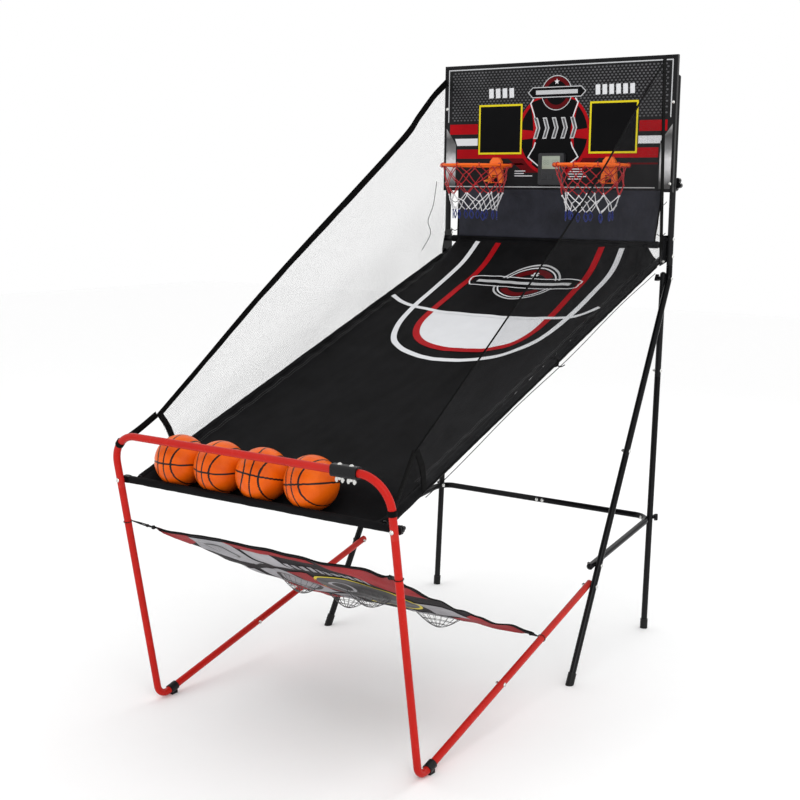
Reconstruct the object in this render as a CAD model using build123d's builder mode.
"""Home arcade basketball machine with two hoops, a fabric ball-return ramp and four balls.

Millimetres, +Z up, +Y from the player towards the backboard, X = 0 on the plane of symmetry.
The origin is on the floor, in the middle of the footprint.
"""
from math import asin, atan2, cos, hypot, pi, radians, sin
import os

from build123d import *

# ---------------------------------------------------------------- driving dimensions
BOARD_TOP = 2057.0
BOARD_WIDTH = 952.0
BOARD_HEIGHT = 469.0
BOARD_THICKNESS = 12.0

TUBE = 22.0                 # outer diameter of the frame tubes
WALL = 1.5
SPIGOT = 45.0               # length of a reduced tube end that plugs into the next section
BOLT = 6.0
BOLT_HOLE = 6.5
HEAD_GAP = 0.3              # between a bolt head and the crest of a tube

FRONT_FOOT_Y = -725.875
BRACE_FOOT_Y = FRONT_FOOT_Y + 869.0
REAR_FOOT_Y = FRONT_FOOT_Y + 1540.0
JOINT_Y = FRONT_FOOT_Y + 1597.0
JOINT_Z = 1283.0

HANDRAIL_Y = FRONT_FOOT_Y - 165.0
HANDRAIL_Z = 866.0
HANDRAIL_X = 495.0
HANDRAIL_BEND = 92.0
FRONT_FOOT_X = 488.0
FOOT_BEND = 36.0
FOOT_GAP = 2.0              # floor clearance under the red bend, taken up by the clip

BRACE_FOOT_X = 496.0
UPRIGHT_X = 469.0
REAR_FOOT_X = 455.0
SIDE_GAP = 0.3              # clearance between tubes that are bolted side by side

LEG_BOLT_Z = 723.0
DIAGONAL_END_Z = 289.0
SPREADER_FRONT_Z = 353.0
SPREADER_REAR_Z = 415.0
SPREADER_BEND = 60.0

BAR = 19.0                  # front crossbar diameter
RAIL_SLOPE = 0.372
CROSSBAR_Z = 1402.0

BALL = 154.0
BALL_SHELL = 3.0

RIM_WIRE = 10.0
RIM_RADIUS = 129.5
RIM_X = 236.0
RIM_Z = 1678.0
RIM_Y = FRONT_FOOT_Y + 1418.0
NET_DROP = 215.0

FABRIC = 3.0                # thickness given to cloth and net solids

os.makedirs("parts", exist_ok=True)


def save(part, label):
    """Label one finished piece and write it."""
    part.label = label
    export_step(part, f"parts/{label}.step")


# ---------------------------------------------------------------- derived places
TUBE_R = TUBE / 2
SIDE_STEP = TUBE + SIDE_GAP


def brace_at(z):
    """Centre of the right brace tube at height z."""
    share = z / JOINT_Z
    return (
        BRACE_FOOT_X + (UPRIGHT_X - BRACE_FOOT_X) * share,
        BRACE_FOOT_Y + (JOINT_Y - BRACE_FOOT_Y) * share,
        z,
    )


REAR_JOINT_X = UPRIGHT_X - SIDE_STEP


def rear_leg_at(z):
    """Centre of the right rear leg tube at height z."""
    share = z / JOINT_Z
    return (
        REAR_FOOT_X + (REAR_JOINT_X - REAR_FOOT_X) * share,
        REAR_FOOT_Y + (JOINT_Y - REAR_FOOT_Y) * share,
        z,
    )


diagonal_brace = brace_at(DIAGONAL_END_Z)
diagonal_end = (diagonal_brace[0] - SIDE_STEP, diagonal_brace[1], DIAGONAL_END_Z)
up_angle = pi - atan2(HANDRAIL_Z, -(HANDRAIL_Y - FRONT_FOOT_Y))
back_angle = atan2(DIAGONAL_END_Z, diagonal_end[1] - FRONT_FOOT_Y)
half_angle = (up_angle - back_angle) / 2
corner_to_centre = FOOT_BEND / sin(half_angle)
lowest_below_corner = corner_to_centre * sin(back_angle + half_angle) - FOOT_BEND
FOOT_CORNER_Z = TUBE_R + FOOT_GAP - lowest_below_corner


def leg_at(z):
    """Centre of the right front leg tube at height z."""
    share = (z - FOOT_CORNER_Z) / (HANDRAIL_Z - FOOT_CORNER_Z)
    return (
        FRONT_FOOT_X + (HANDRAIL_X - FRONT_FOOT_X) * share,
        FRONT_FOOT_Y + (HANDRAIL_Y - FRONT_FOOT_Y) * share,
        z,
    )


def diagonal_at(share):
    """Centre of the right diagonal, from the floor corner (0) to its bolt on the brace (1)."""
    return (
        FRONT_FOOT_X + (diagonal_end[0] - FRONT_FOOT_X) * share,
        FRONT_FOOT_Y + (diagonal_end[1] - FRONT_FOOT_Y) * share,
        FOOT_CORNER_Z + (diagonal_end[2] - FOOT_CORNER_Z) * share,
    )


def unit(start, end):
    return (Vector(*end) - Vector(*start)).normalized()


def along(start, end, distance):
    """Point on the way from start to end, distance from start."""
    return tuple(Vector(*start) + unit(start, end) * distance)


def side_point(point, side):
    return (side * point[0], point[1], point[2])


# ---------------------------------------------------------------- shared shapes
def tube_part(points, bends=(), spigot=False, holes=(), outer=TUBE, wall=WALL, floor=None):
    """Round steel tube along points.

    bends are the bend radii at the inner points, spigot plugs the far end into the next
    section, holes are (point, direction) of through bolts, and floor trims the near end.
    """
    with BuildPart() as tube:
        with BuildLine() as path:
            if bends:
                FilletPolyline(*points, radius=list(bends))
            else:
                Line(points[0], points[1])
        with BuildSketch(Plane(origin=path.line @ 0, z_dir=path.line % 0)):
            Circle(outer / 2)
            Circle(outer / 2 - wall, mode=Mode.SUBTRACT)
        sweep()
        if spigot:
            inner = outer / 2 - wall
            plug = Plane(origin=points[-1], z_dir=unit(points[-2], points[-1]))
            with Locations(plug.offset(-4)):
                Cylinder(inner + 0.4, 4, align=(Align.CENTER, Align.CENTER, Align.MIN))
                Cylinder(inner - 0.2, SPIGOT + 4, align=(Align.CENTER, Align.CENTER, Align.MIN))
                Cylinder(
                    inner - 0.2 - wall,
                    2 * (SPIGOT + 5),
                    mode=Mode.SUBTRACT,
                )
        for point, direction in holes:
            with Locations(Plane(origin=point, z_dir=direction)):
                Cylinder(BOLT_HOLE / 2, 4 * TUBE, mode=Mode.SUBTRACT)
        if floor is not None:
            split(bisect_by=Plane.XY.offset(floor), keep=Keep.TOP)
    return tube.part


def dome_middle(radius, height, base=0.0):
    """Middle point of the spherical arc from (radius, base) up to (0, base + height)."""
    sphere = (radius * radius + height * height) / (2 * height)
    angle = asin(radius / sphere) / 2
    return (sphere * sin(angle), base + height - sphere + sphere * cos(angle))


def bolt_shape(plane, grip):
    """Dome-head bolt whose head sits on the plane and whose shank goes grip deep below it."""
    with BuildPart() as bolt:
        with BuildSketch(Plane.XZ):
            with BuildLine():
                Line((0, -grip - 8), (BOLT / 2, -grip - 8))
                Line((BOLT / 2, -grip - 8), (BOLT / 2, 0))
                Line((BOLT / 2, 0), (6.5, 0))
                ThreePointArc((6.5, 0), dome_middle(6.5, 4.2), (0, 4.2))
                Line((0, 4.2), (0, -grip - 8))
            make_face()
        revolve(axis=Axis.Z)
    return plane * bolt.part


def nut_shape(plane, grip, height=5.0, flats=10.0):
    """Hexagon nut on the far end of a bolt."""
    with BuildPart() as nut:
        with BuildSketch(Plane.XY.offset(-grip)):
            RegularPolygon(flats / 2, 6, major_radius=False)
            Circle(BOLT / 2 + 0.1, mode=Mode.SUBTRACT)
        extrude(amount=-height)
    return plane * nut.part


def wing_nut_shape(plane, grip):
    """Wing nut on the far end of a bolt, with two round ears."""
    with BuildPart() as nut:
        with BuildSketch(Plane.XY.offset(-grip)):
            Circle(5.5)
            Circle(BOLT / 2 + 0.1, mode=Mode.SUBTRACT)
        extrude(amount=-6)
        with BuildSketch(Plane.XZ.offset(-1.25)):
            with Locations((9.5, -grip - 8), (-9.5, -grip - 8)):
                Ellipse(5, 7)
        extrude(amount=2.5)
        with Locations((0, 0, -grip - 8)):
            Cylinder(BOLT / 2 + 0.1, 20, mode=Mode.SUBTRACT)
    return plane * nut.part


def knob_shape(plane, grip, radius, height, lobes):
    """Moulded hand knob on the far end of a bolt: a lobed grip on a round boss."""
    with BuildPart() as knob:
        with BuildSketch(Plane.XY.offset(-grip)):
            Circle(radius * 0.45)
        extrude(amount=-height * 0.35)
        with BuildSketch(Plane.XY.offset(-grip - height * 0.35)):
            Circle(radius * 0.72)
            with PolarLocations(radius * 0.62, lobes):
                Circle(radius * 0.38)
        extrude(amount=-height * 0.65)
        with Locations((0, 0, -grip + 1)):
            Cylinder(
                BOLT / 2 + 0.1,
                min(height * 0.75, 12) + 1,
                align=(Align.CENTER, Align.CENTER, Align.MAX),
                mode=Mode.SUBTRACT,
            )
    return plane * knob.part


# ---------------------------------------------------------------- bolted places
X_AXIS = (1, 0, 0)
Y_AXIS = (0, 1, 0)
SECTION_BOLT = 22.0         # from a section's end to the bolt through its spigot

bolts = []                  # (plane, grip) of every frame bolt
nuts = []                   # the same for the plain nuts
wing_nuts = []
joint_knobs = []
star_knobs = []


def add_bolt(head, direction, grip, far_side):
    """Bolt from a head point along a direction; far_side lists what closes it."""
    plane = Plane(origin=head, z_dir=(Vector(*direction) * -1))
    bolts.append((plane, grip))
    far_side.append((plane, grip))


# ================================================================ red front frame
COUPLER_CENTRE_X = 360.0
COUPLER_LENGTH = 82.0
COUPLER_BOLTS = 19.0        # each way from the coupler's middle
RAIL_SPLIT_GAP = 4.0

corner_left = (-HANDRAIL_X, HANDRAIL_Y, HANDRAIL_Z)
corner_right = (HANDRAIL_X, HANDRAIL_Y, HANDRAIL_Z)
coupler_bolt_points = [
    (COUPLER_CENTRE_X - COUPLER_BOLTS, HANDRAIL_Y, HANDRAIL_Z),
    (COUPLER_CENTRE_X + COUPLER_BOLTS, HANDRAIL_Y, HANDRAIL_Z),
]
Z_AXIS = (0, 0, 1)

leg_split = leg_at(LEG_BOLT_Z - SECTION_BOLT)
leg_bolt = leg_at(LEG_BOLT_Z)

handrail_left = tube_part(
    [(COUPLER_CENTRE_X - RAIL_SPLIT_GAP / 2, HANDRAIL_Y, HANDRAIL_Z), corner_left,
     side_point(leg_split, -1)],
    bends=[HANDRAIL_BEND],
    holes=[(coupler_bolt_points[0], Z_AXIS), (side_point(leg_bolt, -1), Y_AXIS)],
)
save(handrail_left, "handrail_left")

handrail_right = tube_part(
    [(COUPLER_CENTRE_X + RAIL_SPLIT_GAP / 2, HANDRAIL_Y, HANDRAIL_Z), corner_right, leg_split],
    bends=[HANDRAIL_BEND],
    holes=[(coupler_bolt_points[1], Z_AXIS), (leg_bolt, Y_AXIS)],
)
save(handrail_right, "handrail_right")

COUPLER_OUTER = 33.0
with BuildPart() as handrail_coupler:
    with BuildSketch(Plane.YZ.offset(COUPLER_CENTRE_X - COUPLER_LENGTH / 2)):
        with Locations((HANDRAIL_Y, HANDRAIL_Z)):
            RectangleRounded(COUPLER_OUTER - 2, COUPLER_OUTER, 9)
            Circle(TUBE_R + 0.1, mode=Mode.SUBTRACT)
    extrude(amount=COUPLER_LENGTH)
    with Locations((COUPLER_CENTRE_X, HANDRAIL_Y, HANDRAIL_Z)):
        Cylinder(TUBE_R + 0.3, RAIL_SPLIT_GAP - 1, rotation=(0, 90, 0))
    for point in coupler_bolt_points:
        with Locations(point):
            Cylinder(BOLT_HOLE / 2, 2 * COUPLER_OUTER, mode=Mode.SUBTRACT)
save(handrail_coupler.part, "handrail_coupler")
for point in coupler_bolt_points:
    add_bolt(
        (point[0], point[1], HANDRAIL_Z + COUPLER_OUTER / 2),
        (0, 0, -1),
        COUPLER_OUTER,
        wing_nuts,
    )

DIAGONAL_SPLIT = 0.46       # where the front leg's tube meets the diagonal's
DIAGONAL_STUB = 17.0        # end of the diagonal past its bolt on the brace
for side, name in ((-1, "left"), (1, "right")):
    foot_corner = (side * FRONT_FOOT_X, FRONT_FOOT_Y, FOOT_CORNER_Z)
    split_point = side_point(diagonal_at(DIAGONAL_SPLIT), side)
    mid_bolt = along(split_point, foot_corner, SECTION_BOLT)
    # the leg runs from the diagonal's split, round the floor bend and up into the handrail
    leg = tube_part(
        [along(split_point, foot_corner, 0.5), foot_corner, side_point(leg_split, side)],
        bends=[FOOT_BEND],
        spigot=True,
        holes=[(side_point(leg_bolt, side), Y_AXIS), (mid_bolt, X_AXIS)],
    )
    save(leg, f"front_leg_{name}")
    end = side_point(diagonal_end, side)
    diagonal = tube_part(
        [along(end, foot_corner, -DIAGONAL_STUB), along(split_point, foot_corner, -0.5)],
        spigot=True,
        holes=[(end, X_AXIS), (mid_bolt, X_AXIS)],
    )
    save(diagonal, f"diagonal_{name}")
    outer_face = (mid_bolt[0] + side * (TUBE_R + HEAD_GAP), mid_bolt[1], mid_bolt[2])
    add_bolt(outer_face, (-side, 0, 0), TUBE + 2 * HEAD_GAP, nuts)

# the crossbar in the ramp's front hem has flat ends bolted behind the legs
BAR_TAB = 4.0
HEAD_LEAN = 1.6
LEAN_GAP = 2.6              # the legs lean, so their back is not parallel to the tab
BAR_Y = leg_bolt[1] + TUBE_R + LEAN_GAP + BAR_TAB + 3.0
TAB_OUT = leg_bolt[0] + 13.0
with BuildPart() as front_crossbar:
    with BuildSketch(Plane.YZ.offset(-(leg_bolt[0] - 22))):
        with Locations((BAR_Y, LEG_BOLT_Z)):
            Circle(BAR / 2)
            Circle(BAR / 2 - WALL, mode=Mode.SUBTRACT)
    extrude(amount=2 * (leg_bolt[0] - 22))
    with BuildSketch(Plane.XZ.offset(-(BAR_Y - 3 - BAR_TAB))):
        for side in (-1, 1):
            with Locations((side * (TAB_OUT + leg_bolt[0] - 26) / 2, LEG_BOLT_Z)):
                RectangleRounded(TAB_OUT - leg_bolt[0] + 26, 20, 6)
    extrude(amount=-BAR_TAB)
    for side in (-1, 1):
        with Locations(Plane(origin=side_point(leg_bolt, side), z_dir=Y_AXIS)):
            Cylinder(BOLT_HOLE / 2, 4 * TUBE, mode=Mode.SUBTRACT)
save(front_crossbar.part, "front_crossbar")
for side in (-1, 1):
    head = (side * leg_bolt[0], leg_bolt[1] - TUBE_R - HEAD_LEAN, LEG_BOLT_Z)
    add_bolt(head, (0, 1, 0), TUBE + HEAD_LEAN + LEAN_GAP + BAR_TAB + 0.3, joint_knobs)

# black moulded clips that keep the floor bends off the floor
CLIP_LENGTH = 30.0
CLIP_WALL = 3.5
with BuildPart() as floor_clips:
    for side in (-1, 1):
        foot_corner = (side * FRONT_FOOT_X, FRONT_FOOT_Y, FOOT_CORNER_Z)
        start = along(foot_corner, side_point(diagonal_end, side), 44)
        sleeve = Plane(origin=start, z_dir=unit(foot_corner, side_point(diagonal_end, side)))
        with Locations(sleeve):
            Cylinder(
                TUBE_R + CLIP_WALL, CLIP_LENGTH, align=(Align.CENTER, Align.CENTER, Align.MIN)
            )
        middle = along(foot_corner, side_point(diagonal_end, side), 44 + CLIP_LENGTH / 2)
        with Locations((middle[0], middle[1], 0)):
            Box(
                TUBE - 2,
                CLIP_LENGTH - 6,
                middle[2],
                align=(Align.CENTER, Align.CENTER, Align.MIN),
            )
        with Locations(sleeve):
            Cylinder(TUBE_R + 0.1, 6 * CLIP_LENGTH, mode=Mode.SUBTRACT)
    split(bisect_by=Plane.XY, keep=Keep.TOP)
save(floor_clips.part, "floor_clips")

# ================================================================ black rear frame
BRACE_SPLIT_Z = 690.0
REAR_SPLIT_Z = 930.0
UPRIGHT_SPLIT_Z = 1330.0
UPRIGHT_TOP_Z = 1985.0
CORNER_BOLTS_Z = (1362.0, 1423.0)
JOINT_BEND = 70.0
FOOT_TRIM = 3.5             # thickness of rubber under a tube's end

joint_point = brace_at(JOINT_Z)
rear_joint = rear_leg_at(JOINT_Z)
REAR_STUB = 16.0
SPREADER_STUB = 24.0

spreader_brace = brace_at(SPREADER_FRONT_Z)
spreader_end = (spreader_brace[0] - SIDE_STEP, spreader_brace[1], SPREADER_FRONT_Z)
spreader_leg = rear_leg_at(SPREADER_REAR_Z)
# the rear leg stands against the outside of the spreader's bend
BEND_GAP = 1.0
bend_inset = SPREADER_BEND * (2 ** 0.5 - 1)
corner_past_leg = (bend_inset - SIDE_STEP - BEND_GAP) / 2 ** 0.5
spreader_corner = (
    spreader_leg[0] + corner_past_leg,
    spreader_leg[1] + corner_past_leg,
    SPREADER_REAR_Z,
)
DIAGONAL_OUT = (2 ** -0.5, 2 ** -0.5, 0)

brace_lower = []
brace_upper = []
rear_leg_lower = []
rear_leg_upper = []
for side in (-1, 1):
    split_point = side_point(brace_at(BRACE_SPLIT_Z), side)
    foot = side_point(brace_at(-40), side)
    top = side_point(joint_point, side)
    mid_bolt = along(split_point, top, SECTION_BOLT)
    lower = tube_part(
        [foot, along(split_point, foot, 0.5)],
        spigot=True,
        holes=[
            (side_point(diagonal_brace, side), X_AXIS),
            (side_point(spreader_brace, side), X_AXIS),
            (mid_bolt, X_AXIS),
        ],
        floor=FOOT_TRIM,
    )
    brace_lower.append(lower)
    upper = tube_part(
        [along(split_point, top, 0.5), top, (top[0], top[1], UPRIGHT_SPLIT_Z - 0.5)],
        bends=[JOINT_BEND],
        spigot=True,
        holes=[(mid_bolt, X_AXIS), (top, X_AXIS),
               ((top[0], top[1], CORNER_BOLTS_Z[0]), X_AXIS)],
    )
    brace_upper.append(upper)
    outer_face = (mid_bolt[0] + side * (TUBE_R + HEAD_GAP), mid_bolt[1], mid_bolt[2])
    add_bolt(outer_face, (-side, 0, 0), TUBE + 2 * HEAD_GAP, nuts)
    # diagonal and spreader lie against the inside of the brace
    for place in (diagonal_brace, spreader_brace):
        head = (side * (place[0] + TUBE_R + HEAD_GAP), place[1], place[2])
        add_bolt(head, (-side, 0, 0), SIDE_STEP + TUBE + 3 * HEAD_GAP, nuts)

    split_point = side_point(rear_leg_at(REAR_SPLIT_Z), side)
    foot = side_point(rear_leg_at(-40), side)
    top = side_point(rear_joint, side)
    mid_bolt = along(split_point, top, SECTION_BOLT)
    leg_place = side_point(spreader_leg, side)
    diagonal_out = (side * DIAGONAL_OUT[0], DIAGONAL_OUT[1], 0)
    lower = tube_part(
        [foot, along(split_point, foot, 0.5)],
        spigot=True,
        holes=[(leg_place, diagonal_out), (mid_bolt, X_AXIS)],
        floor=FOOT_TRIM,
    )
    rear_leg_lower.append(lower)
    upper = tube_part(
        [along(split_point, top, 0.5), along(top, foot, -REAR_STUB)],
        holes=[(mid_bolt, X_AXIS), (top, X_AXIS)],
    )
    rear_leg_upper.append(upper)
    outer_face = (mid_bolt[0] + side * (TUBE_R + HEAD_GAP), mid_bolt[1], mid_bolt[2])
    add_bolt(outer_face, (-side, 0, 0), TUBE + 2 * HEAD_GAP, nuts)
    # one bolt ties brace and rear leg together at the joint, with a hand knob inside
    head = (side * (UPRIGHT_X + TUBE_R + HEAD_GAP), JOINT_Y, JOINT_Z)
    add_bolt(head, (-side, 0, 0), SIDE_STEP + TUBE + 2 * HEAD_GAP, joint_knobs)
    # and one goes slantwise through the spreader's bend and the rear leg
    reach = SIDE_STEP + BEND_GAP + TUBE_R + 0.6
    head = tuple(Vector(*leg_place) - Vector(*diagonal_out) * reach)
    add_bolt(head, diagonal_out, reach + TUBE_R + 0.2, joint_knobs)

save(Compound(children=brace_lower), "brace_lower_tubes")
save(Compound(children=brace_upper), "brace_upper_tubes")
save(Compound(children=rear_leg_lower), "rear_leg_lower_tubes")
save(Compound(children=rear_leg_upper), "rear_leg_upper_tubes")

SPREADER_BOLTS = 12.0       # each way from the spreader's middle
SPREADER_SPLIT_X = 24.0
for side, name in ((-1, "left"), (1, "right")):
    corner = side_point(spreader_corner, side)
    front = along(side_point(spreader_end, side), corner, -SPREADER_STUB)
    middle = (SPREADER_SPLIT_X + side * 0.5, spreader_corner[1], SPREADER_REAR_Z)
    spreader = tube_part(
        [front, corner, middle],
        bends=[SPREADER_BEND],
        spigot=side > 0,
        holes=[
            (side_point(spreader_end, side), X_AXIS),
            (side_point(spreader_leg, side), (side * DIAGONAL_OUT[0], DIAGONAL_OUT[1], 0)),
            ((SPREADER_BOLTS, spreader_corner[1], SPREADER_REAR_Z), Y_AXIS),
            ((-SPREADER_BOLTS, spreader_corner[1], SPREADER_REAR_Z), Y_AXIS),
        ],
    )
    save(spreader, f"spreader_{name}")
for place_x in (-SPREADER_BOLTS, SPREADER_BOLTS):
    head = (place_x, spreader_corner[1] - TUBE_R - HEAD_GAP, SPREADER_REAR_Z)
    add_bolt(head, (0, 1, 0), TUBE + 2 * HEAD_GAP, nuts)

# ---------------------------------------------------------------- uprights and the ramp's frame
BOARD_GAP = 0.5
BOARD_FRONT = JOINT_Y - TUBE_R - BOARD_GAP - BOARD_THICKNESS
BOARD_BOTTOM = BOARD_TOP - BOARD_HEIGHT
BOARD_BOLT_Z = (BOARD_BOTTOM + 28, BOARD_TOP - 160)
BOARD_BOLT_X = 466.5
PLATE = 3.0

uprights = []
for side in (-1, 1):
    x = side * UPRIGHT_X
    holes = [((x, JOINT_Y, z), X_AXIS) for z in CORNER_BOLTS_Z]
    holes += [((side * BOARD_BOLT_X, JOINT_Y, z), Y_AXIS) for z in BOARD_BOLT_Z]
    upright = tube_part(
        [(x, JOINT_Y, UPRIGHT_SPLIT_Z + 0.5), (x, JOINT_Y, UPRIGHT_TOP_Z)], holes=holes
    )
    uprights.append(upright)
    for z in CORNER_BOLTS_Z:
        head = (side * (UPRIGHT_X + TUBE_R + HEAD_GAP), JOINT_Y, z)
        add_bolt(head, (-side, 0, 0), TUBE + PLATE + 0.2 + 2 * HEAD_GAP, nuts)
    for z in BOARD_BOLT_Z:
        head = (side * BOARD_BOLT_X, BOARD_FRONT - 0.05, z)
        fixing = star_knobs if z == min(BOARD_BOLT_Z) else nuts
        add_bolt(head, (0, 1, 0), BOARD_THICKNESS + BOARD_GAP + TUBE + 0.2, fixing)
save(Compound(children=uprights), "uprights")

# plates that carry the rear crossbar and the ends of the ramp rails
CROSSBAR_Y = JOINT_Y - 22.0
RAIL_END_Y = JOINT_Y - 23.0
RAIL_BOLT_Y = JOINT_Y - 42.0
PLATE_INNER = UPRIGHT_X - TUBE_R - 0.2 - PLATE
RAIL_X = PLATE_INNER - 0.1 - TUBE_R


def rail_at(y):
    """Centre of the right ramp rail at depth y."""
    return (RAIL_X, y, LEG_BOLT_Z + RAIL_SLOPE * (y - BAR_Y))


rail_bolt = rail_at(RAIL_BOLT_Y)
with BuildPart() as corner_plates:
    for side in (-1, 1):
        with BuildSketch(Plane.YZ.offset(side * PLATE_INNER)):
            with BuildLine():
                Polyline(
                    (JOINT_Y - 57, rail_bolt[2] - 16),
                    (JOINT_Y - 57, rail_bolt[2] + 18),
                    (JOINT_Y - 36, CROSSBAR_Z + 34),
                    (JOINT_Y + 10, CROSSBAR_Z + 34),
                    (JOINT_Y + 10, CORNER_BOLTS_Z[0] - 18),
                    close=True,
                )
            make_face()
        extrude(amount=side * PLATE)
        # peg that the crossbar slides over
        peg_origin = (side * PLATE_INNER, CROSSBAR_Y, CROSSBAR_Z)
        with Locations(Plane(origin=peg_origin, z_dir=(-side, 0, 0))):
            Cylinder(TUBE_R - WALL - 0.2, 30, align=(Align.CENTER, Align.CENTER, Align.MIN))
        for z in CORNER_BOLTS_Z:
            with Locations(Plane(origin=(side * PLATE_INNER, JOINT_Y, z), z_dir=X_AXIS)):
                Cylinder(BOLT_HOLE / 2, 12, mode=Mode.SUBTRACT)
        with Locations(Plane(origin=(side * PLATE_INNER, RAIL_BOLT_Y, rail_bolt[2]), z_dir=X_AXIS)):
            Cylinder(BOLT_HOLE / 2, 12, mode=Mode.SUBTRACT)
save(corner_plates.part, "corner_plates")

with BuildPart() as rear_crossbar:
    with BuildSketch(Plane.YZ.offset(-PLATE_INNER + 0.2)):
        with Locations((CROSSBAR_Y, CROSSBAR_Z)):
            Circle(TUBE_R)
            Circle(TUBE_R - WALL, mode=Mode.SUBTRACT)
    extrude(amount=2 * (PLATE_INNER - 0.2))
save(rear_crossbar.part, "rear_crossbar")

for side, name in ((-1, "left"), (1, "right")):
    front = side_point(rail_at(BAR_Y + 10), side)
    back = side_point(rail_at(RAIL_END_Y), side)
    rail = tube_part([front, back], holes=[(side_point(rail_bolt, side), X_AXIS)])
    save(rail, f"ramp_rail_{name}")
    head = (side * (RAIL_X - TUBE_R - HEAD_GAP), rail_bolt[1], rail_bolt[2])
    add_bolt(head, (side, 0, 0), TUBE + PLATE + 0.1 + 2 * HEAD_GAP, nuts)

# ---------------------------------------------------------------- rubber feet and end caps
FOOT_OUTER = 27.0
FOOT_HEIGHT = 34.0
with BuildPart() as rubber_feet:
    for side in (-1, 1):
        for at in (brace_at, rear_leg_at):
            low = side_point(at(-20), side)
            high = side_point(at(FOOT_HEIGHT), side)
            with Locations(Plane(origin=high, z_dir=unit(high, low))):
                Cylinder(FOOT_OUTER / 2, 90, align=(Align.CENTER, Align.CENTER, Align.MIN))
    split(bisect_by=Plane.XY, keep=Keep.TOP)
    for side in (-1, 1):
        for at in (brace_at, rear_leg_at):
            low = side_point(at(-60), side)
            high = side_point(at(3 * FOOT_HEIGHT), side)
            with BuildPart(mode=Mode.PRIVATE) as bore:
                with Locations(Plane(origin=low, z_dir=unit(low, high))):
                    Cylinder(TUBE_R + 0.1, 300, align=(Align.CENTER, Align.CENTER, Align.MIN))
                split(bisect_by=Plane.XY.offset(FOOT_TRIM - 0.2), keep=Keep.TOP)
            add(bore.part, mode=Mode.SUBTRACT)
save(rubber_feet.part, "rubber_feet")


def cap_shape(end, outward):
    """Domed plastic plug in the open end of a tube."""
    plane = Plane(origin=end, z_dir=outward)
    with BuildPart() as cap:
        with BuildSketch(Plane.XZ):
            with BuildLine():
                Line((0, -12), (TUBE_R - WALL - 0.2, -12))
                Line((TUBE_R - WALL - 0.2, -12), (TUBE_R - WALL - 0.2, 0.1))
                Line((TUBE_R - WALL - 0.2, 0.1), (TUBE_R + 0.2, 0.1))
                ThreePointArc((TUBE_R + 0.2, 0.1), dome_middle(TUBE_R + 0.2, 7.4, 0.1), (0, 7.5))
                Line((0, 7.5), (0, -12))
            make_face()
        revolve(axis=Axis.Z)
    return plane * cap.part


diagonal_caps = []
black_caps = []
for side in (-1, 1):
    foot_corner = (side * FRONT_FOOT_X, FRONT_FOOT_Y, FOOT_CORNER_Z)
    end = side_point(diagonal_end, side)
    diagonal_caps.append(
        cap_shape(along(end, foot_corner, -DIAGONAL_STUB), unit(foot_corner, end))
    )
    corner = side_point(spreader_corner, side)
    front = side_point(spreader_end, side)
    black_caps.append(cap_shape(along(front, corner, -SPREADER_STUB), unit(corner, front)))
    black_caps.append(cap_shape((side * UPRIGHT_X, JOINT_Y, UPRIGHT_TOP_Z), Z_AXIS))
    top = side_point(rear_joint, side)
    foot = side_point(rear_leg_at(0), side)
    black_caps.append(cap_shape(along(top, foot, -REAR_STUB), unit(foot, top)))
save(Compound(children=diagonal_caps), "diagonal_caps")
save(Compound(children=black_caps), "tube_caps")

# ---------------------------------------------------------------- fasteners and knobs
save(Compound(children=[bolt_shape(plane, grip) for plane, grip in bolts]), "frame_bolts")
frame_nuts = [nut_shape(plane, grip + 0.05) for plane, grip in nuts]
frame_nuts += [wing_nut_shape(plane, grip + 0.05) for plane, grip in wing_nuts]
save(Compound(children=frame_nuts), "frame_nuts")
save(
    Compound(children=[knob_shape(plane, grip + 0.1, 14, 16, 3) for plane, grip in joint_knobs]),
    "joint_knobs",
)
save(
    Compound(children=[knob_shape(plane, grip + 0.1, 25, 24, 5) for plane, grip in star_knobs]),
    "star_knobs",
)

# ================================================================ backboard
with BuildPart() as backboard:
    with BuildSketch(Plane.XZ.offset(-BOARD_FRONT)):
        with Locations((0, BOARD_TOP - BOARD_HEIGHT / 2)):
            RectangleRounded(BOARD_WIDTH, BOARD_HEIGHT, 4)
        with Locations(*[(side * BOARD_BOLT_X, z) for side in (-1, 1) for z in BOARD_BOLT_Z]):
            Circle(BOLT_HOLE / 2, mode=Mode.SUBTRACT)
        with Locations((0, 1668)):
            Rectangle(84, 84, mode=Mode.SUBTRACT)
    extrude(amount=-BOARD_THICKNESS)
save(backboard.part, "backboard")

# ---------------------------------------------------------------- hoops
# each bracket is a moulded box on the board; a sprung wire lever hangs out of it under the rim
BRACKET_TOP = 1711.0
BRACKET_BOTTOM = 1616.0
BRACKET_DEPTH = 16.0
BRACKET_WALL = 3.0
LEVER_WIRE = 4.0
LEVER_Y = BOARD_FRONT - 8.0
LEVER_Z = 1641.0
LEVER_REACH = 78.0
LEVER_DROP_DEG = 14.0       # how far the lever hangs below level at rest
LEVER_HALF_WIDTH = 9.0
RIM_BACK_Y = RIM_Y + RIM_RADIUS

BRACKET_FACE_Y = BOARD_FRONT - BRACKET_DEPTH
FLANGE = 3.0

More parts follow.
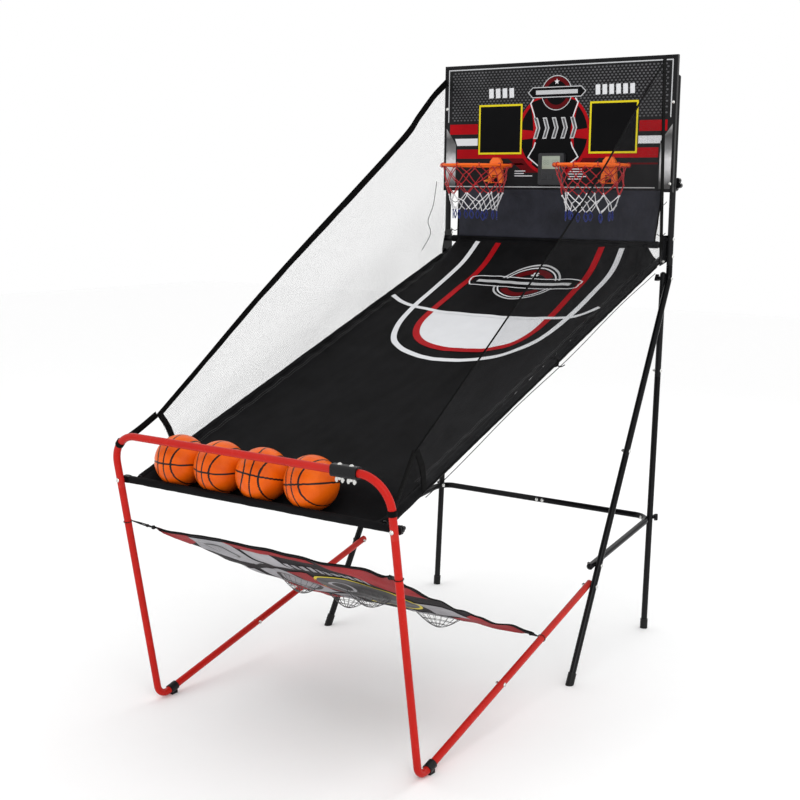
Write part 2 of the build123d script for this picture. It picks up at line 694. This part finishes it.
lever_pins = []
lever_switches = []
for side, name in ((-1, "left"), (1, "right")):
    x = side * RIM_X
    with BuildPart() as rim:
        with Locations((x, RIM_Y, RIM_Z)):
            Torus(RIM_RADIUS, RIM_WIRE / 2)
        # flange on the bracket's face, welded to the back of the ring
        with BuildSketch(Plane.XZ.offset(-BRACKET_FACE_Y)):
            with Locations((x, RIM_Z)):
                RectangleRounded(40, 24, 4)
            with Locations((x - 14, RIM_Z + 6), (x + 14, RIM_Z + 6)):
                Circle(2.2, mode=Mode.SUBTRACT)
        extrude(amount=FLANGE)
        with BuildSketch(Plane.XY.offset(RIM_Z - 2)):
            with Locations((x, (RIM_BACK_Y + BRACKET_FACE_Y - FLANGE) / 2)):
                Rectangle(26, BRACKET_FACE_Y - RIM_BACK_Y)
        extrude(amount=4)
    save(rim.part, f"hoop_rim_{name}")

    with BuildPart() as bracket:
        with BuildSketch(Plane.XZ.offset(-BOARD_FRONT + 0.1)):
            with BuildLine():
                Polyline(
                    (x - 31, BRACKET_BOTTOM),
                    (x - 24, BRACKET_TOP - 14),
                    (x - 12, BRACKET_TOP),
                    (x + 12, BRACKET_TOP),
                    (x + 24, BRACKET_TOP - 14),
                    (x + 31, BRACKET_BOTTOM),
                    close=True,
                )
            make_face()
        extrude(amount=BRACKET_DEPTH - 0.2)
        # hollow from behind, open below where the lever swings
        with BuildSketch(Plane.XZ.offset(-BOARD_FRONT)):
            with BuildLine():
                Polyline(
                    (x - 27, BRACKET_BOTTOM + 3),
                    (x - 21, BRACKET_TOP - 16),
                    (x + 21, BRACKET_TOP - 16),
                    (x + 27, BRACKET_BOTTOM + 3),
                    close=True,
                )
            make_face()
        extrude(amount=BRACKET_DEPTH - BRACKET_WALL, mode=Mode.SUBTRACT)
        # slot for the lever in the front wall and the floor
        with Locations((x, BRACKET_FACE_Y, LEVER_Z - 12)):
            Box(2 * LEVER_HALF_WIDTH + 8, 12, 34, mode=Mode.SUBTRACT)
        with Locations((x, LEVER_Y, LEVER_Z)):
            Cylinder(1.6, 80, rotation=(0, 90, 0), mode=Mode.SUBTRACT)
        with Locations((x - 14, BRACKET_FACE_Y, RIM_Z + 6), (x + 14, BRACKET_FACE_Y, RIM_Z + 6)):
            Cylinder(1.7, 12, rotation=(90, 0, 0), mode=Mode.SUBTRACT)
    save(bracket.part, f"rim_bracket_{name}")

    # the lever is one bent wire: an eye tube on the pin and a long narrow loop
    drop = radians(LEVER_DROP_DEG)
    tip_y = LEVER_Y - LEVER_REACH * cos(drop)
    tip_z = LEVER_Z - LEVER_REACH * sin(drop)
    with BuildPart() as lever:
        with Locations((x, LEVER_Y, LEVER_Z)):
            Cylinder(4, 2 * LEVER_HALF_WIDTH + 4, rotation=(0, 90, 0))
        with BuildLine():
            FilletPolyline(
                (x - LEVER_HALF_WIDTH, LEVER_Y, LEVER_Z),
                (x - LEVER_HALF_WIDTH, tip_y, tip_z),
                (x + LEVER_HALF_WIDTH, tip_y, tip_z),
                (x + LEVER_HALF_WIDTH, LEVER_Y, LEVER_Z),
                radius=LEVER_HALF_WIDTH - 0.5,
            )
        with BuildSketch(
            Plane(
                origin=(x - LEVER_HALF_WIDTH, LEVER_Y, LEVER_Z),
                z_dir=(0, -cos(drop), -sin(drop)),
            )
        ):
            Circle(LEVER_WIRE / 2)
        sweep()
        with Locations((x, LEVER_Y, LEVER_Z)):
            Cylinder(1.7, 60, rotation=(0, 90, 0), mode=Mode.SUBTRACT)
    save(lever.part, f"score_lever_{name}")

    with BuildPart() as pin:
        with Locations((x, LEVER_Y, LEVER_Z)):
            Cylinder(1.5, 50, rotation=(0, 90, 0))
    lever_pins.append(pin.part)
    # small switch above the lever's eye
    with BuildPart() as switch:
        with Locations((x, LEVER_Y + 1, LEVER_Z + 22)):
            Box(20, 9, 11)
        with Locations((x + 4, LEVER_Y + 1, LEVER_Z + 15.5)):
            Box(3, 3, 2)
    lever_switches.append(switch.part)
save(Compound(children=lever_pins), "lever_pins")
save(Compound(children=lever_switches), "lever_switches")

# hoop nets: woven cord, given as an open tapering sleeve with a slit at the back for the lever
NET_TOP_Z = RIM_Z - RIM_WIRE / 2 - 1
NET_TOP_R = RIM_RADIUS - 4
NET_LOW_R = 92.0
for side, name in ((-1, "left"), (1, "right")):
    x = side * RIM_X
    with BuildPart() as hoop_net:
        with BuildSketch(Plane.XZ):
            with BuildLine():
                Polyline(
                    (NET_TOP_R, NET_TOP_Z),
                    (NET_LOW_R, RIM_Z - NET_DROP),
                    (NET_LOW_R - FABRIC, RIM_Z - NET_DROP),
                    (NET_TOP_R - FABRIC, NET_TOP_Z),
                    close=True,
                )
            make_face()
        revolve(axis=Axis.Z)
        with Locations((0, 100, RIM_Z - 50)):
            Box(66, 80, 120, mode=Mode.SUBTRACT)
    save(Pos(x, RIM_Y, 0) * hoop_net.part, f"hoop_net_{name}")

# ================================================================ scoring unit
UNIT_Z = 1668.0
UNIT_WIDTH = 110.0
UNIT_HEIGHT = 118.0
UNIT_PROUD = 13.0
with BuildPart() as module_case:
    with BuildSketch(Plane.XZ.offset(-BOARD_FRONT + 0.1)):
        with Locations((0, UNIT_Z)):
            RectangleRounded(UNIT_WIDTH, UNIT_HEIGHT, 7)
    extrude(amount=UNIT_PROUD, taper=8)
    with BuildSketch(Plane.XZ.offset(-BOARD_FRONT)):
        with Locations((0, UNIT_Z)):
            RectangleRounded(UNIT_WIDTH - 12, UNIT_HEIGHT - 12, 5)
    extrude(amount=UNIT_PROUD - 3, mode=Mode.SUBTRACT)
    with BuildSketch(Plane.XZ.offset(-BOARD_FRONT)):
        with Locations((0, UNIT_Z + 24)):
            RectangleRounded(76, 49, 1.5)
        with Locations((-28, UNIT_Z - 29), (0, UNIT_Z - 29), (28, UNIT_Z - 29)):
            RectangleRounded(22.6, 16.6, 3)
    extrude(amount=2 * UNIT_PROUD, mode=Mode.SUBTRACT)
save(module_case.part, "module_case")

with BuildPart() as display_lens:
    with BuildSketch(Plane.XZ.offset(-BOARD_FRONT + UNIT_PROUD - 3.5)):
        with Locations((0, UNIT_Z + 24)):
            RectangleRounded(75.6, 48.6, 1.3)
    extrude(amount=2.6)
save(display_lens.part, "display_lens")

with BuildPart() as circuit_board:
    with BuildSketch(Plane.XZ.offset(-BOARD_FRONT)):
        with Locations((0, UNIT_Z)):
            Rectangle(80, 80)
    extrude(amount=-1.6)
    with Locations((-18, BOARD_FRONT + 3, UNIT_Z + 10), (14, BOARD_FRONT + 3, UNIT_Z + 14)):
        Box(14, 3, 14)
    with Locations((10, BOARD_FRONT + 4, UNIT_Z - 20)):
        Box(26, 5, 6)
save(circuit_board.part, "circuit_board")

for place, name in ((-28, "power"), (0, "mode"), (28, "sound")):
    with BuildPart() as button:
        with BuildSketch(Plane.XZ.offset(-BOARD_FRONT + 3.0)):
            with Locations((place, UNIT_Z - 29)):
                RectangleRounded(25, 19, 3)
        extrude(amount=3.5)
        with BuildSketch(Plane.XZ.offset(-BOARD_FRONT + 6.4)):
            with Locations((place, UNIT_Z - 29)):
                RectangleRounded(22, 16, 2.8)
        extrude(amount=UNIT_PROUD - 4.6)
        fillet(button.faces().sort_by(Axis.Y)[0].edges(), 0.8)
    save(button.part, f"button_{name}")

BACK_DEPTH = 34.0
BACK_Y = BOARD_FRONT + BOARD_THICKNESS + 0.1
with BuildPart() as module_back:
    with BuildSketch(Plane.XZ.offset(-BACK_Y)):
        with Locations((0, UNIT_Z)):
            RectangleRounded(150, 128, 8)
    extrude(amount=-BACK_DEPTH)
    with BuildSketch(Plane.XZ.offset(-BACK_Y)):
        with Locations((0, UNIT_Z)):
            RectangleRounded(145, 123, 6)
    extrude(amount=-(BACK_DEPTH - 2.5), mode=Mode.SUBTRACT)
    with BuildSketch(Plane.XZ.offset(-(BACK_Y + BACK_DEPTH - 2.5))):
        with Locations((0, UNIT_Z - 24)):
            Rectangle(76, 58)
    extrude(amount=-3, mode=Mode.SUBTRACT)
    with BuildSketch(Plane.XZ.offset(-(BACK_Y + BACK_DEPTH - 3))):
        with Locations((0, UNIT_Z + 32)):
            with PolarLocations(13, 8):
                Circle(2)
            with PolarLocations(6.5, 4):
                Circle(2)
    extrude(amount=-4, mode=Mode.SUBTRACT)
save(module_back.part, "module_back")

with BuildPart() as speaker:
    with BuildSketch(Plane.XZ.offset(-(BACK_Y + BACK_DEPTH - 2.7))):
        with Locations((0, UNIT_Z + 32)):
            Circle(20)
    extrude(amount=3)
    with BuildSketch(Plane.XZ.offset(-(BACK_Y + BACK_DEPTH - 5.7))):
        with Locations((0, UNIT_Z + 32)):
            Circle(10)
    extrude(amount=9)
save(speaker.part, "speaker")

with BuildPart() as batteries:
    for place in (-18, 0, 18):
        with Locations((place, BACK_Y + BACK_DEPTH - 12, UNIT_Z - 24)):
            Cylinder(7.2, 49)
        with Locations((place, BACK_Y + BACK_DEPTH - 12, UNIT_Z - 24 + 25)):
            Cylinder(2.5, 2)
save(batteries.part, "batteries")

with BuildPart() as battery_cover:
    with BuildSketch(Plane.XZ.offset(-(BACK_Y + BACK_DEPTH - 2.5))):
        with Locations((0, UNIT_Z - 24)):
            RectangleRounded(75.4, 57.4, 1)
    extrude(amount=-2.5)
    with BuildSketch(Plane.XZ.offset(-(BACK_Y + BACK_DEPTH - 0.1))):
        with Locations((0, UNIT_Z - 8)):
            with GridLocations(0, 4, 1, 4):
                Rectangle(30, 1.6)
    extrude(amount=-1)
save(battery_cover.part, "battery_cover")

# ================================================================ soft parts
BALL_R = BALL / 2
ball_line_y = FRONT_FOOT_Y - 57.0
ball_line_z = 789.0
BALL_XS = (-325.0, -169.0, -11.0, 163.0)
for number, ball_x in enumerate(BALL_XS, start=1):
    with BuildPart() as ball:
        with Locations((ball_x, ball_line_y, ball_line_z)):
            Sphere(BALL_R)
            Sphere(BALL_R - BALL_SHELL, mode=Mode.SUBTRACT)
    save(ball.part, f"ball_{number}")

# ramp cloth: over the front bar, down into the trough under the balls and up to the rear bar
CLOTH = 1.6
RAMP_HALF_WIDTH = RAIL_X - TUBE_R - 3.0
TROUGH_R = BALL_R + CLOTH / 2 + 2.0
BAR_WRAP = BAR / 2 + 0.3 + CLOTH / 2


def polar(centre, radius, angle):
    """Point of the YZ profile at an angle in degrees from +Y."""
    return (centre[0] + radius * cos(radians(angle)), centre[1] + radius * sin(radians(angle)))


bar_centre = (BAR_Y, LEG_BOLT_Z)
trough_centre = (ball_line_y, ball_line_z)
trough_front = polar(trough_centre, TROUGH_R, -115)
trough_back = polar(trough_centre, TROUGH_R, -38)
back_tangent = (sin(radians(38)), cos(radians(38)))
ramp_foot = (trough_back[0] + 20 * back_tangent[0], trough_back[1] + 20 * back_tangent[1])
ramp_start_y = FRONT_FOOT_Y + 190
ramp_start = (ramp_start_y, rail_at(ramp_start_y)[2] + 4)
ramp_knee_y = CROSSBAR_Y - 190
ramp_knee = (ramp_knee_y, rail_at(ramp_knee_y)[2] + 12)
ramp_end = (CROSSBAR_Y - TUBE_R - 2, CROSSBAR_Z + 1)
with BuildPart() as ramp_fabric:
    with BuildSketch(Plane.YZ.offset(-RAMP_HALF_WIDTH)):
        with BuildLine():
            ThreePointArc(
                polar(bar_centre, BAR_WRAP, 215),
                polar(bar_centre, BAR_WRAP, 130),
                polar(bar_centre, BAR_WRAP, 55),
            )
            Line(polar(bar_centre, BAR_WRAP, 55), trough_front)
            ThreePointArc(trough_front, polar(trough_centre, TROUGH_R, -80), trough_back)
            Line(trough_back, ramp_foot)
            Spline(ramp_foot, ramp_start, tangents=(back_tangent, (1, RAIL_SLOPE)))
            Line(ramp_start, ramp_knee)
            Line(ramp_knee, ramp_end)
        trace(line_width=CLOTH)
    extrude(amount=2 * RAMP_HALF_WIDTH)
save(ramp_fabric.part, "ramp_fabric")

# side nets: flat panels from the ramp's edges up to the backboard's upper corners
NET_X = 467.0
net_corners = [
    (FRONT_FOOT_Y + 45, rail_at(FRONT_FOOT_Y + 45)[2] + 12),
    (JOINT_Y - 31, rail_at(JOINT_Y - 31)[2] + 12),
    (JOINT_Y - 31, 2030),
    (FRONT_FOOT_Y - 12, 903),
]
for side, name in ((-1, "left"), (1, "right")):
    with BuildPart() as side_net:
        with BuildSketch(Plane.YZ.offset(side * NET_X - FABRIC / 2)):
            with BuildLine():
                Polyline(*net_corners, close=True)
            make_face()
        extrude(amount=FABRIC)
    save(side_net.part, f"side_net_{name}")

# webbing that ties each net's front corner to the handrail
STRAP_BAND = 14.0
straps = []
for side in (-1, 1):
    start = (side * NET_X, FRONT_FOOT_Y - 14, 902)
    if side > 0:
        hold = leg_at(773)
        hold_axis = unit(leg_at(0), hold)
    else:
        # middle of the left bend
        down = unit(corner_left, side_point(leg_split, -1))
        centre = Vector(*corner_left) + Vector(HANDRAIL_BEND, 0, 0) + down * HANDRAIL_BEND
        outward = (Vector(*corner_left) - centre).normalized()
        hold = tuple(centre + outward * HANDRAIL_BEND)
        hold_axis = (Vector(1, 0, 0) - down).normalized()
    with BuildPart() as strap:
        with Locations(Plane(origin=hold, z_dir=hold_axis)):
            Cylinder(TUBE_R + 2.2, STRAP_BAND)
        length = (Vector(*hold) - Vector(*start)).length
        with Locations(Plane(origin=start, z_dir=unit(start, hold), x_dir=(0, 1, 1))):
            Box(2, STRAP_BAND, length, align=(Align.CENTER, Align.CENTER, Align.MIN))
        with Locations(Plane(origin=hold, z_dir=hold_axis)):
            Cylinder(TUBE_R + 0.4, 4 * STRAP_BAND, mode=Mode.SUBTRACT)
    straps.append(strap.part)
save(Compound(children=straps), "net_straps")

# cloth that hangs behind the hoops from the backboard to the rear crossbar
CURTAIN_LEFT = -405.0
CURTAIN_RIGHT = 440.0
with BuildPart() as curtain:
    with BuildSketch(Plane.XZ.offset(-(CROSSBAR_Y - 1))):
        with BuildLine():
            Polyline(
                (CURTAIN_LEFT, CROSSBAR_Z + TUBE_R + 3),
                (CURTAIN_LEFT, BOARD_BOTTOM - 0.5),
                (CURTAIN_RIGHT, BOARD_BOTTOM - 0.5),
                (CURTAIN_RIGHT - 18, CROSSBAR_Z + TUBE_R + 3),
                close=True,
            )
        make_face()
    extrude(amount=-2)
save(curtain.part, "curtain")

# target sheet slung under the ramp between the four red tubes
TARGET_FRONT = (440.0, FRONT_FOOT_Y - 72, 577.0)
TARGET_REAR = (440.0, FRONT_FOOT_Y + 690, 202.0)
target_plane = Plane(
    origin=(0, TARGET_FRONT[1], TARGET_FRONT[2]),
    x_dir=X_AXIS,
    z_dir=Vector(0, TARGET_FRONT[2] - TARGET_REAR[2], TARGET_REAR[1] - TARGET_FRONT[1]),
)
target_length = hypot(TARGET_REAR[1] - TARGET_FRONT[1], TARGET_FRONT[2] - TARGET_REAR[2])
with BuildPart() as target_sheet:
    with BuildSketch(target_plane.offset(-1)):
        with Locations((0, target_length / 2)):
            RectangleRounded(2 * TARGET_FRONT[0] - 10, target_length - 10, 12)
    extrude(amount=2)
save(target_sheet.part, "target_sheet")

hooks = []
sheet_cords = []
HOOK_WIRE = 2.4
ELASTIC = 4.0
for side in (-1, 1):
    front_tube = side_point(leg_at(592), side)
    rear_tube = side_point(diagonal_at(0.685), side)
    foot_corner = (side * FRONT_FOOT_X, FRONT_FOOT_Y, FOOT_CORNER_Z)
    for tube_point, sheet_corner in (
        (front_tube, side_point(TARGET_FRONT, side)),
        (rear_tube, side_point(TARGET_REAR, side)),
    ):
        with BuildPart() as hook:
            with Locations(Plane(origin=tube_point, z_dir=unit(foot_corner, tube_point))):
                Torus(TUBE_R + HOOK_WIRE / 2 + 0.4, HOOK_WIRE / 2)
        hooks.append(hook.part)
        start = along(sheet_corner, tube_point, 3)
        reach = (Vector(*tube_point) - Vector(*start)).length - TUBE_R - HOOK_WIRE - 1.2
        with BuildPart() as elastic:
            with Locations(Plane(origin=start, z_dir=unit(start, tube_point))):
                Cylinder(ELASTIC / 2, reach, align=(Align.CENTER, Align.CENTER, Align.MIN))
        sheet_cords.append(elastic.part)
save(Compound(children=hooks), "sheet_hooks")
save(Compound(children=sheet_cords), "sheet_cords")
